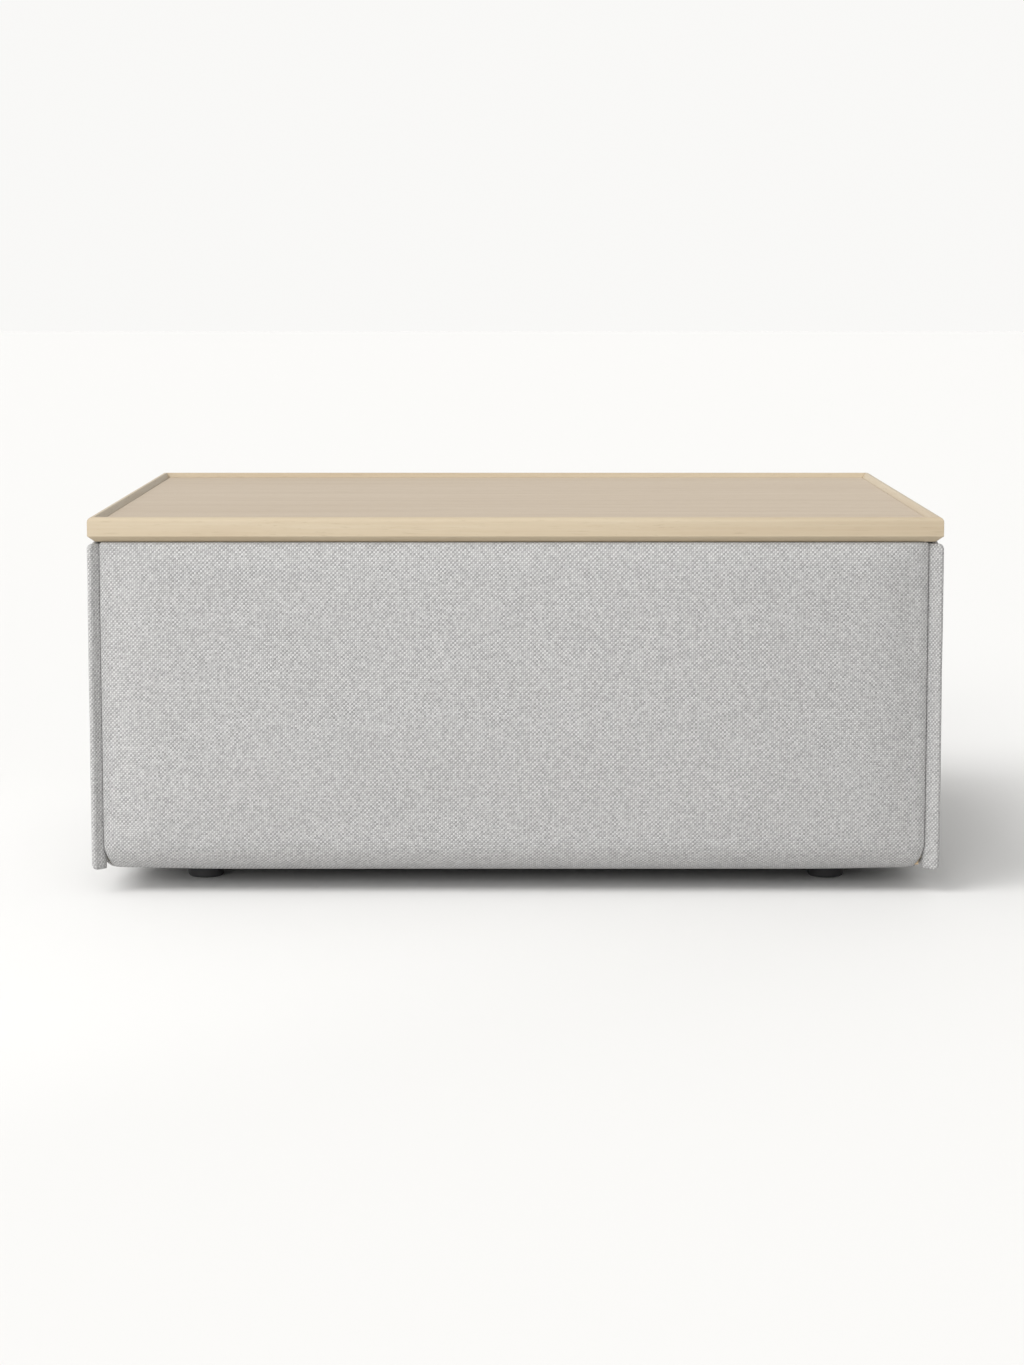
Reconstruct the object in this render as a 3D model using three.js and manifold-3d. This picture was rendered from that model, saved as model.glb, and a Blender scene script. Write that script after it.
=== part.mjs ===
// Upholstered ottoman with a storage box and a hinged wooden tray lid.
// Units are millimetres, +Z is up, and the front faces -Y. The origin is on the floor, under the
// middle of the box.
import * as THREE from 'three';
import Module from 'manifold-3d';
import { mergeVertices } from 'three/addons/utils/BufferGeometryUtils.js';

// Overall size
const WIDTH = 960;
const DEPTH = 800;
const HEIGHT = 428;
const GAP = 0.3; // clearance that separate pieces keep where they touch

// Tray lid
const LID_BOTTOM = 400;
const TRAY_DEPTH = 6;
const LIP_TOP_WIDTH = 7;
const LIP_FOOT_WIDTH = 11.5;
const LIP_ROUND = 5;
const CHAMFER_HEIGHT = 6.5;
const CHAMFER_WIDTH = 8;

// Upholstered box, from the outside in
const COVER_SETBACK = 2.5; // the cover's face behind the lid's edge
const COVER_THICKNESS = 2;
const FOAM_THICKNESS = 16;
const BOARD_THICKNESS = 18;
const LINING_THICKNESS = 1.2;
const CORNER_RADIUS = 24;
const COVER_TOP = 398;
const COVER_BOTTOM = 28.5;
const BOARD_TOP = 395.5;
const BOARD_BOTTOM = 30;

// Corner flanges: the folded seam that stands out at 45 degrees
const FLANGE_THICKNESS = 8;
const FLANGE_BOTTOM = 27.2;
const FLANGE_CORNER = 5;

// Base
const BASE_BOTTOM = 62;
const BASE_THICKNESS = 12;
const FOOT_BLOCK = 130;
const CLEAT_WIDTH = 25;
const RAIL_WIDTH = 40;
const DUST_COVER_THICKNESS = 1;

// Feet
const FOOT_INSET = 118; // from the lid's edges to the foot's middle
const FOOT_RADIUS = 21;
const FOOT_HEIGHT = 28.3;
const FOOT_EDGE = 3;
const BOLT_RADIUS = 4;
const BOLT_TOP = 54;
const BOLT_HEAD_RADIUS = 7.5;
const BOLT_HEAD_BOTTOM = 6;
const BOLT_HEAD_TOP = 12;

// Hinges
const HINGE_Y = DEPTH / 2 - 4.5;
const HINGE_Z = 401.5;
const HINGE_X = 300;
const KNUCKLE_RADIUS = 3;
const KNUCKLE_LENGTH = 20;
const LEAF_REACH = 34; // from the pin to the leaf's far edge
const LEAF_THICKNESS = 1.2;
const PIN_RADIUS = 1.4;

// Gas struts. Both pivots lie at the same distance from the hinge pin, so that the strut turns
// through half the lid's angle.
const STRUT_X = 425;
const PIVOT_RADIUS = 200;
const LID_PIVOT_DROP = 15.5; // below the hinge pin
const CLOSED_ANGLE = THREE.MathUtils.degToRad(68); // between the two pivots, seen from the pin
const TUBE_RADIUS = 9;
const TUBE_MOUTH = 205; // from the lower pivot
const BORE_RADIUS = 4.7;
const BORE_BOTTOM = 14;
const ROD_RADIUS = 4;
const ROD_LENGTH = 204; // from the upper pivot
const EYE_RADIUS = 8;
const EYE_WIDTH = 8;
const EYE_BORE = 3.3;
const STUD_RADIUS = 2.8;
const PLATE_THICKNESS = 2.5;

const ROUND_STEPS = 24;

const foamInset = COVER_SETBACK + COVER_THICKNESS + GAP;
const boardOuterX = WIDTH / 2 - foamInset - FOAM_THICKNESS;
const boardOuterY = DEPTH / 2 - foamInset - FOAM_THICKNESS;
const boardInnerX = boardOuterX - BOARD_THICKNESS;
const boardInnerY = boardOuterY - BOARD_THICKNESS;
const footX = WIDTH / 2 - FOOT_INSET;
const footY = DEPTH / 2 - FOOT_INSET;

const paint = (color, roughness, metalness = 0) =>
  new THREE.MeshStandardMaterial({ color, roughness, metalness });
const ash = paint(0xd3c2a7, 0.55);
const rawPine = paint(0xd8c39a, 0.8);
const plywood = paint(0xcdb58c, 0.8);
const upholstery = paint(0xc2c1bf, 0.95);
const foam = paint(0xe8e4d4, 0.95);
const liningCloth = paint(0x4a4a4c, 0.95);
const dustCloth = paint(0x1c1c1d, 0.95);
const blackPlastic = paint(0x1d1d1e, 0.45);
const blackRubber = paint(0x222222, 0.8);
const zincSteel = paint(0xb9bcc0, 0.35, 1);
const blackSteel = paint(0x202124, 0.4, 0.6);
const chrome = paint(0xd8dadd, 0.12, 1);

const ottoman = new THREE.Group();

// Adds one named piece and returns it.
function piece(name, geometry, material) {
  const mesh = new THREE.Mesh(geometry, material);
  mesh.name = name;
  ottoman.add(mesh);
  return mesh;
}

// A block between two corners.
function block(low, high) {
  const size = high.map((value, i) => value - low[i]);
  const geometry = new THREE.BoxGeometry(...size);
  geometry.translate(...low.map((value, i) => value + size[i] / 2));
  return geometry;
}

// A shape drawn in plan, stood up between two heights.
function standing(shape, bottom, top) {
  const geometry = new THREE.ExtrudeGeometry(shape, {
    depth: top - bottom,
    bevelEnabled: false,
    curveSegments: ROUND_STEPS / 4,
  });
  geometry.translate(0, 0, bottom);
  return geometry;
}

// A turned solid about the Z axis from [radius, height] pairs.
function turned(profile) {
  const points = profile.map(([radius, height]) => new THREE.Vector2(radius, height));
  const geometry = new THREE.LatheGeometry(points, ROUND_STEPS);
  geometry.rotateX(Math.PI / 2);
  return geometry;
}

// A rod that lies along X, with its middle at the origin.
function rodAlongX(radius, length) {
  const geometry = new THREE.CylinderGeometry(radius, radius, length, ROUND_STEPS);
  geometry.rotateZ(Math.PI / 2);
  return geometry;
}

const wasm = await Module();
wasm.setup();

// Turns a closed geometry into a solid that can be joined and cut.
function solid(geometry) {
  const bare = geometry.clone();
  bare.deleteAttribute('normal');
  bare.deleteAttribute('uv');
  const merged = mergeVertices(bare, 1e-4);
  return new wasm.Manifold(new wasm.Mesh({
    numProp: 3,
    vertProperties: new Float32Array(merged.attributes.position.array),
    triVerts: new Uint32Array(merged.index.array),
  }));
}

// Turns a solid back into a geometry.
function skin(body) {
  const mesh = body.getMesh();
  const geometry = new THREE.BufferGeometry();
  geometry.setAttribute('position', new THREE.BufferAttribute(mesh.vertProperties, 3));
  geometry.setIndex(new THREE.BufferAttribute(mesh.triVerts, 1));
  geometry.computeVertexNormals();
  return geometry;
}

const SIDES = [
  { name: 'front', turn: 0, half: WIDTH / 2, off: DEPTH / 2 },
  { name: 'right', turn: 1, half: DEPTH / 2, off: WIDTH / 2 },
  { name: 'back', turn: 2, half: WIDTH / 2, off: DEPTH / 2 },
  { name: 'left', turn: 3, half: DEPTH / 2, off: WIDTH / 2 },
];
const CORNERS = [
  { name: 'front_left', sx: -1, sy: -1 },
  { name: 'front_right', sx: 1, sy: -1 },
  { name: 'back_right', sx: 1, sy: 1 },
  { name: 'back_left', sx: -1, sy: 1 },
];
const HANDS = [
  { name: 'left', sx: -1 },
  { name: 'right', sx: 1 },
];

// Wooden box: front and back boards run the full width, side boards fit between them.
function boards() {
  const longX = boardOuterX;
  const shortY = boardInnerY - GAP;
  const bottom = BOARD_BOTTOM;
  const top = BOARD_TOP;
  piece('panel_front', block([-longX, -boardOuterY, bottom], [longX, -boardInnerY, top]), plywood);
  piece('panel_back', block([-longX, boardInnerY, bottom], [longX, boardOuterY, top]), plywood);
  piece('panel_left', block([-boardOuterX, -shortY, bottom], [-boardInnerX, shortY, top]), plywood);
  piece('panel_right', block([boardInnerX, -shortY, bottom], [boardOuterX, shortY, top]), plywood);
}

// Base board with the blocks, cleats and rail that carry it.
function base() {
  const edgeX = boardInnerX - GAP;
  const edgeY = boardInnerY - GAP;
  const low = BOARD_BOTTOM;
  const high = BASE_BOTTOM - GAP;
  const blockX = boardInnerX - FOOT_BLOCK;
  const blockY = boardInnerY - FOOT_BLOCK;
  piece('base_panel', block([-edgeX, -edgeY, BASE_BOTTOM], [edgeX, edgeY, BASE_BOTTOM + BASE_THICKNESS]),
    plywood);

  for (const { name, sx, sy } of CORNERS) {
    const xs = [sx * blockX, sx * edgeX].sort((a, b) => a - b);
    const ys = [sy * blockY, sy * edgeY].sort((a, b) => a - b);
    const bolt = new THREE.CylinderGeometry(BOLT_RADIUS + GAP, BOLT_RADIUS + GAP, 100, ROUND_STEPS);
    bolt.rotateX(Math.PI / 2);
    bolt.translate(sx * footX, sy * footY, BASE_BOTTOM - GAP);
    const wood = solid(block([xs[0], ys[0], low], [xs[1], ys[1], high])).subtract(solid(bolt));
    piece(`foot_block_${name}`, skin(wood), rawPine);
  }

  const cleatX = blockX - GAP;
  const cleatY = blockY - GAP;
  const innerX = edgeX - CLEAT_WIDTH;
  const innerY = edgeY - CLEAT_WIDTH;
  piece('cleat_front', block([-cleatX, -edgeY, low], [cleatX, -innerY, high]), rawPine);
  piece('cleat_back', block([-cleatX, innerY, low], [cleatX, edgeY, high]), rawPine);
  piece('cleat_left', block([-edgeX, -cleatY, low], [-innerX, cleatY, high]), rawPine);
  piece('cleat_right', block([innerX, -cleatY, low], [edgeX, cleatY, high]), rawPine);
  const railX = RAIL_WIDTH / 2;
  const railY = innerY - GAP;
  piece('centre_rail', block([-railX, -railY, low], [railX, railY, high]), rawPine);
}

// Where one side's left and right corner arcs have their centre, in plan.
function cornerCentre(half, off) {
  return [half - COVER_SETBACK - CORNER_RADIUS, -(off - COVER_SETBACK - CORNER_RADIUS)];
}

// The outline of one side's cover, in plan: a straight run whose ends turn round the corners and
// stop beside the flanges.
function coverShape(half, off) {
  const inner = CORNER_RADIUS - COVER_THICKNESS;
  const beside = FLANGE_THICKNESS / 2 + GAP;
  const [cx, cy] = cornerCentre(half, off);
  const stopOuter = -Math.PI / 4 - Math.asin(beside / CORNER_RADIUS);
  const stopInner = -Math.PI / 4 - Math.asin(beside / inner);
  const shape = new THREE.Shape();
  shape.absarc(cx, cy, CORNER_RADIUS, -Math.PI / 2, stopOuter, false);
  shape.absarc(cx, cy, inner, stopInner, -Math.PI / 2, true);
  shape.absarc(-cx, cy, inner, -Math.PI / 2, -Math.PI - stopInner, true);
  shape.absarc(-cx, cy, CORNER_RADIUS, -Math.PI - stopOuter, -Math.PI / 2, false);
  return shape;
}

// The outline of one side's foam pad, in plan: flat against the board, round at the corners, and
// cut along the diagonals, where it meets the next pad.
function padShape(half, off) {
  const radius = CORNER_RADIUS - COVER_THICKNESS - GAP;
  const [cx, cy] = cornerCentre(half, off);
  const stop = -Math.PI / 4 - Math.asin(GAP / radius);
  const back = -(off - foamInset - FOAM_THICKNESS + GAP);
  const backEnd = cx + cy - back - GAP * Math.SQRT2;
  const shape = new THREE.Shape();
  shape.moveTo(-backEnd, back);
  shape.absarc(-cx, cy, radius, -Math.PI - stop, -Math.PI / 2, false);
  shape.absarc(cx, cy, radius, -Math.PI / 2, stop, false);
  shape.lineTo(backEnd, back);
  return shape;
}

// Foam pads glued to the boards, and the fabric covers pulled over them.
function upholsteredSides() {
  for (const { name, turn, half, off } of SIDES) {
    const pad = standing(padShape(half, off), BOARD_BOTTOM, BOARD_TOP);
    const cloth = standing(coverShape(half, off), COVER_BOTTOM, COVER_TOP);
    pad.rotateZ(turn * Math.PI / 2);
    cloth.rotateZ(turn * Math.PI / 2);
    piece(`foam_${name}`, pad, foam);
    piece(`cover_${name}`, cloth, upholstery);
  }
}

// A flange is a flat folded strip with round edges. It is drawn upright, with its reach along X.
function flanges() {
  const rim = FLANGE_THICKNESS / 2;
  const rootReach = CORNER_RADIUS - COVER_THICKNESS + GAP;
  const cornerReach = (CORNER_RADIUS + COVER_SETBACK - rim) * Math.SQRT2;
  const low = FLANGE_BOTTOM + rim;
  const high = COVER_TOP - rim;
  const shape = new THREE.Shape();
  shape.moveTo(rootReach + rim, low);
  shape.absarc(cornerReach - FLANGE_CORNER, low + FLANGE_CORNER, FLANGE_CORNER, -Math.PI / 2, 0, false);
  shape.absarc(cornerReach - FLANGE_CORNER, high - FLANGE_CORNER, FLANGE_CORNER, 0, Math.PI / 2, false);
  shape.lineTo(rootReach + rim, high);
  for (const { name, sx, sy } of CORNERS) {
    const strip = new THREE.ExtrudeGeometry(shape, {
      depth: 0.01,
      bevelSize: rim,
      bevelThickness: rim - 0.005,
      bevelSegments: 4,
      curveSegments: 4,
    });
    strip.translate(0, 0, -0.005);
    strip.rotateX(Math.PI / 2);
    strip.rotateZ(Math.atan2(sy, sx));
    strip.translate(
      sx * (WIDTH / 2 - COVER_SETBACK - CORNER_RADIUS),
      sy * (DEPTH / 2 - COVER_SETBACK - CORNER_RADIUS),
      0,
    );
    piece(`corner_flange_${name}`, strip, upholstery);
  }
}

// Lining bag inside the box: four walls and a floor, open at the top.
function lining() {
  const outX = boardInnerX - GAP;
  const outY = boardInnerY - GAP;
  const inX = outX - LINING_THICKNESS;
  const inY = outY - LINING_THICKNESS;
  const floor = BASE_BOTTOM + BASE_THICKNESS + GAP;
  const bag = solid(block([-outX, -outY, floor], [outX, outY, BOARD_TOP]));
  const room = solid(block([-inX, -inY, floor + LINING_THICKNESS], [inX, inY, HEIGHT]));
  piece('storage_lining', skin(bag.subtract(room)), liningCloth);
}

// Dust cover stapled under the frame, with a hole for each foot bolt.
function dustCover() {
  const top = BOARD_BOTTOM - GAP;
  let cloth = solid(block(
    [-boardOuterX, -boardOuterY, top - DUST_COVER_THICKNESS],
    [boardOuterX, boardOuterY, top],
  ));
  for (const { sx, sy } of CORNERS) {
    const hole = new THREE.CylinderGeometry(BOLT_RADIUS + 1, BOLT_RADIUS + 1, 10, ROUND_STEPS);
    hole.rotateX(Math.PI / 2);
    hole.translate(sx * footX, sy * footY, top);
    cloth = cloth.subtract(solid(hole));
  }
  piece('dust_cover', skin(cloth), dustCloth);
}

// Round moulded feet, each held by a bolt from below.
function feet() {
  const bore = BOLT_RADIUS + GAP;
  const pocket = BOLT_HEAD_RADIUS + 1;
  const seat = BOLT_HEAD_TOP + GAP;
  const foot = [
    [bore, seat],
    [pocket, seat],
    [pocket, 0],
    [FOOT_RADIUS - FOOT_EDGE, 0],
    [FOOT_RADIUS - 1, FOOT_EDGE / 3],
    [FOOT_RADIUS, FOOT_EDGE],
    [FOOT_RADIUS, FOOT_HEIGHT],
    [bore, FOOT_HEIGHT],
    [bore, seat],
  ];
  const bolt = [
    [0, BOLT_HEAD_BOTTOM],
    [BOLT_HEAD_RADIUS, BOLT_HEAD_BOTTOM],
    [BOLT_HEAD_RADIUS, BOLT_HEAD_TOP],
    [BOLT_RADIUS, BOLT_HEAD_TOP],
    [BOLT_RADIUS, BOLT_TOP],
    [0, BOLT_TOP],
  ];
  for (const { name, sx, sy } of CORNERS) {
    piece(`foot_${name}`, turned(foot), blackPlastic).position.set(sx * footX, sy * footY, 0);
    piece(`foot_bolt_${name}`, turned(bolt), zincSteel).position.set(sx * footX, sy * footY, 0);
  }
}

// Edge strip of the tray: raised lip, round top edge and a chamfer below. Its ends are mitred.
function edgeStrip(half, off) {
  const shape = new THREE.Shape();
  shape.moveTo(CHAMFER_WIDTH, LID_BOTTOM);
  shape.lineTo(LIP_FOOT_WIDTH, LID_BOTTOM);
  shape.lineTo(LIP_FOOT_WIDTH, HEIGHT - TRAY_DEPTH);
  shape.lineTo(LIP_TOP_WIDTH + 1, HEIGHT - 1);
  shape.lineTo(LIP_TOP_WIDTH, HEIGHT);
  shape.absarc(LIP_ROUND, HEIGHT - LIP_ROUND, LIP_ROUND, Math.PI / 2, Math.PI, false);
  shape.lineTo(0, LID_BOTTOM + CHAMFER_HEIGHT);
  const strip = new THREE.ExtrudeGeometry(shape, { depth: 1, bevelEnabled: false, curveSegments: 4 });
  const place = strip.attributes.position;
  const mitreGap = GAP / Math.SQRT2;
  for (let i = 0; i < place.count; i += 1) {
    const inset = place.getX(i);
    const height = place.getY(i);
    const end = 2 * place.getZ(i) - 1;
    place.setXYZ(i, end * (half - inset - mitreGap), inset - off, height);
  }
  return strip;
}

// The tray lid: a flat panel framed by four edge strips, with rubber bumpers below.
function trayLid() {
  const panelX = WIDTH / 2 - LIP_FOOT_WIDTH - GAP;
  const panelY = DEPTH / 2 - LIP_FOOT_WIDTH - GAP;
  piece('lid_panel', block([-panelX, -panelY, LID_BOTTOM], [panelX, panelY, HEIGHT - TRAY_DEPTH]), ash);

  for (const { name, turn, half, off } of SIDES) {
    const strip = edgeStrip(half, off);
    strip.rotateZ(turn * Math.PI / 2);
    const shape = name === 'back' ? hingeNotches(strip) : strip;
    piece(`lid_edge_${name}`, shape, ash);
  }

  const bumper = [
    [0, 396.9],
    [6, 396.9],
    [7, LID_BOTTOM - GAP],
    [0, LID_BOTTOM - GAP],
  ];
  const bumperX = WIDTH / 2 - 80;
  const bumperY = (boardOuterY + boardInnerY) / 2;
  for (const { name, sx, sy } of CORNERS) {
    piece(`lid_bumper_${name}`, turned(bumper), blackRubber).position.set(sx * bumperX, sy * bumperY, 0);
  }
}

// Cuts the room for the hinge knuckles out of the back edge strip.
function hingeNotches(strip) {
  const wide = 1.5 * KNUCKLE_LENGTH + 3;
  const front = DEPTH / 2 - LIP_FOOT_WIDTH - 1;
  let wood = solid(strip);
  for (const { sx } of HANDS) {
    const middle = sx * HINGE_X;
    const room = block([middle - wide, front, LID_BOTTOM - 1], [middle + wide, DEPTH, HINGE_Z + 3.8]);
    wood = wood.subtract(solid(room));
  }
  return skin(wood);
}

// A knuckle: a tube round the pin, between two X positions.
function knuckle(from, to) {
  const tube = rodAlongX(KNUCKLE_RADIUS, to - from);
  tube.translate((from + to) / 2, HINGE_Y, HINGE_Z);
  return solid(tube);
}

// Two butt hinges along the back edge. Each has a leaf on the box, a leaf on the lid and a pin.
function hinges() {
  const third = KNUCKLE_LENGTH / 2;
  const wide = 3 * third;
  const farEdge = HINGE_Y - LEAF_REACH;
  const lidLeafLow = LID_BOTTOM - GAP - LEAF_THICKNESS;
  const boxLeafLow = lidLeafLow - GAP - LEAF_THICKNESS;
  const nearEdge = HINGE_Y - KNUCKLE_RADIUS;
  for (const { name, sx } of HANDS) {
    const middle = sx * HINGE_X;
    const bore = rodAlongX(PIN_RADIUS + GAP, 3 * KNUCKLE_LENGTH + 2);
    bore.translate(middle, HINGE_Y, HINGE_Z);

    const lidPlate = block(
      [middle - wide, farEdge, lidLeafLow],
      [middle + wide, nearEdge - 2.6, LID_BOTTOM - GAP],
    );
    const lidArm = block(
      [middle - third + GAP, farEdge, lidLeafLow],
      [middle + third - GAP, HINGE_Y, LID_BOTTOM - GAP],
    );
    const lidLeaf = solid(lidPlate)
      .add(solid(lidArm))
      .add(knuckle(middle - third + GAP, middle + third - GAP))
      .subtract(solid(bore));
    piece(`hinge_lid_leaf_${name}`, skin(lidLeaf), zincSteel);

    const boxPlate = block(
      [middle - wide, farEdge, boxLeafLow],
      [middle + wide, nearEdge, boxLeafLow + LEAF_THICKNESS],
    );
    let boxLeaf = solid(boxPlate);
    for (const end of [-1, 1]) {
      const xs = [middle + end * third, middle + end * wide].sort((a, b) => a - b);
      const arm = block([xs[0], nearEdge - 1.6, boxLeafLow], [xs[1], nearEdge + 0.6, HINGE_Z]);
      boxLeaf = boxLeaf.add(solid(arm)).add(knuckle(xs[0], xs[1]));
    }
    piece(`hinge_box_leaf_${name}`, skin(boxLeaf.subtract(solid(bore))), zincSteel);

    const pin = rodAlongX(PIN_RADIUS, 3 * KNUCKLE_LENGTH);
    piece(`hinge_pin_${name}`, pin, zincSteel).position.set(middle, HINGE_Y, HINGE_Z);
  }
}

// An eye for a pivot stud: a short tube across the strut, round the origin.
function eye() {
  return solid(rodAlongX(EYE_RADIUS, EYE_WIDTH));
}

// Gas struts. Tube and rod are drawn along +Z from their own pivots, then turned into line.
function gasStruts() {
  const lidAngle = Math.PI + Math.asin(LID_PIVOT_DROP / PIVOT_RADIUS);
  const boxAngle = lidAngle + CLOSED_ANGLE;
  const lidPivot = [Math.cos(lidAngle), Math.sin(lidAngle)].map((value) => value * PIVOT_RADIUS);
  const boxPivot = [Math.cos(boxAngle), Math.sin(boxAngle)].map((value) => value * PIVOT_RADIUS);
  const lean = Math.atan2(boxPivot[0] - lidPivot[0], lidPivot[1] - boxPivot[1]);
  const bore = solid(rodAlongX(EYE_BORE, 2 * EYE_WIDTH));

  const tubeProfile = [
    [0, 5],
    [TUBE_RADIUS - 1.5, 5],
    [TUBE_RADIUS, 8],
    [TUBE_RADIUS, TUBE_MOUTH - 2],
    [TUBE_RADIUS - 2, TUBE_MOUTH],
    [BORE_RADIUS, TUBE_MOUTH],
    [BORE_RADIUS, BORE_BOTTOM],
    [0, BORE_BOTTOM],
  ];
  const rodProfile = [
    [0, -ROD_LENGTH],
    [ROD_RADIUS, -ROD_LENGTH],
    [ROD_RADIUS, -EYE_RADIUS + 1],
    [0, -EYE_RADIUS + 1],
  ];
  const tube = solid(turned(tubeProfile)).add(eye()).subtract(bore);
  const rod = solid(turned(rodProfile)).add(eye()).subtract(bore);

  for (const { name, sx } of HANDS) {
    const tubeMesh = piece(`strut_tube_${name}`, skin(tube), blackSteel);
    tubeMesh.rotation.x = lean;
    tubeMesh.position.set(sx * STRUT_X, HINGE_Y + boxPivot[0], HINGE_Z + boxPivot[1]);
    const rodMesh = piece(`strut_rod_${name}`, skin(rod), chrome);
    rodMesh.rotation.x = lean;
    rodMesh.position.set(sx * STRUT_X, HINGE_Y + lidPivot[0], HINGE_Z + lidPivot[1]);
    strutBrackets(name, sx, boxPivot, lidPivot);
  }
}

// The strut's two brackets, each with a pivot stud: one on the box wall, one under the lid.
function strutBrackets(name, sx, boxPivot, lidPivot) {
  const studEnd = STRUT_X - EYE_WIDTH / 2 - 1;
  const wall = boardInnerX - 2 * GAP - LINING_THICKNESS;
  const cheek = STRUT_X + EYE_WIDTH / 2 + 3.5;
  const top = LID_BOTTOM - GAP - HINGE_Z;

  const plate = (near, far, low, high) => {
    const xs = [sx * near, sx * far].sort((a, b) => a - b);
    return solid(block([xs[0], ...low], [xs[1], ...high]));
  };
  const stud = (base, pivot) => {
    const rod = rodAlongX(STUD_RADIUS, base - studEnd);
    rod.translate(sx * (base + studEnd) / 2, ...pivot);
    return solid(rod);
  };

  const boxBracket = plate(
    wall - PLATE_THICKNESS,
    wall,
    [boxPivot[0] - 12, boxPivot[1] - 30],
    [boxPivot[0] + 12, boxPivot[1] + 30],
  ).add(stud(wall - PLATE_THICKNESS / 2, boxPivot));

  const lidPlate = plate(
    cheek - 36,
    cheek + PLATE_THICKNESS,
    [lidPivot[0] - 22, top - PLATE_THICKNESS],
    [lidPivot[0] + 22, top],
  );
  const lidCheek = plate(
    cheek,
    cheek + PLATE_THICKNESS,
    [lidPivot[0] - 12, lidPivot[1] - 9],
    [lidPivot[0] + 12, top],
  );
  const lidBracket = lidPlate.add(lidCheek).add(stud(cheek + PLATE_THICKNESS / 2, lidPivot));

  piece(`strut_box_bracket_${name}`, skin(boxBracket), zincSteel).position.set(0, HINGE_Y, HINGE_Z);
  piece(`strut_lid_bracket_${name}`, skin(lidBracket), zincSteel).position.set(0, HINGE_Y, HINGE_Z);
}

boards();
base();
upholsteredSides();
flanges();
lining();
dustCover();
feet();
trayLid();
hinges();
gasStruts();

export default ottoman;
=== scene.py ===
"""Upholstered storage ottoman with a hinged ash tray lid, put together piece by piece.

Sizes are in metres. The front faces -Y, and the floor is at Z = 0.
"""
import math

import bmesh
import bpy
from mathutils import Matrix, Vector, noise


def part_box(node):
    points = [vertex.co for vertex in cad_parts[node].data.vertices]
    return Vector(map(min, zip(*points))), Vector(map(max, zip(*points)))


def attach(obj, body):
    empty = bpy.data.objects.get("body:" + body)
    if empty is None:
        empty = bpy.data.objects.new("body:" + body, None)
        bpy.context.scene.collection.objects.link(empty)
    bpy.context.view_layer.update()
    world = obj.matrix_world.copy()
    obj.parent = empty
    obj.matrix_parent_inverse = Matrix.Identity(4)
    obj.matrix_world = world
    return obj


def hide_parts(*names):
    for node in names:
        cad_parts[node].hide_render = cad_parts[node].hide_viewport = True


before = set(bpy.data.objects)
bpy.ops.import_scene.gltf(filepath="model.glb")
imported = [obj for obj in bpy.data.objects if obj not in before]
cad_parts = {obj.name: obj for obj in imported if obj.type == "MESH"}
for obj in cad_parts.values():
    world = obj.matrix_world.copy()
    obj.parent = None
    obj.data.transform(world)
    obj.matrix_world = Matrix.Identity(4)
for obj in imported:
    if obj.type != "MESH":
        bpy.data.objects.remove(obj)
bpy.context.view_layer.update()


# ---------------------------------------------------------------------------------------------
# The box's four boards and its base board: 18 mm and 12 mm birch plywood, sawn and left bare.
# The sides fit between the front and the back, and the base board is screwed down from above.

class Wire:
    """A value that runs between the nodes of a finish. Arithmetic on it adds Math nodes."""

    def __init__(self, finish, socket):
        self.finish = finish
        self.socket = socket

    def other(self, name):
        """Another output of the same node."""
        return Wire(self.finish, self.socket.node.outputs[name])

    def math(self, operation, *values):
        return self.finish.math(operation, self, *values)

    def __add__(self, value):
        return self.finish.math("ADD", self, value)

    def __radd__(self, value):
        return self.finish.math("ADD", value, self)

    def __sub__(self, value):
        return self.finish.math("SUBTRACT", self, value)

    def __rsub__(self, value):
        return self.finish.math("SUBTRACT", value, self)

    def __mul__(self, value):
        return self.finish.math("MULTIPLY", self, value)

    def __rmul__(self, value):
        return self.finish.math("MULTIPLY", value, self)

    def __truediv__(self, value):
        return self.finish.math("DIVIDE", self, value)

    def __pow__(self, value):
        return self.finish.math("POWER", self, value)

    def __mod__(self, value):
        return self.finish.math("FLOORED_MODULO", self, value)


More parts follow.
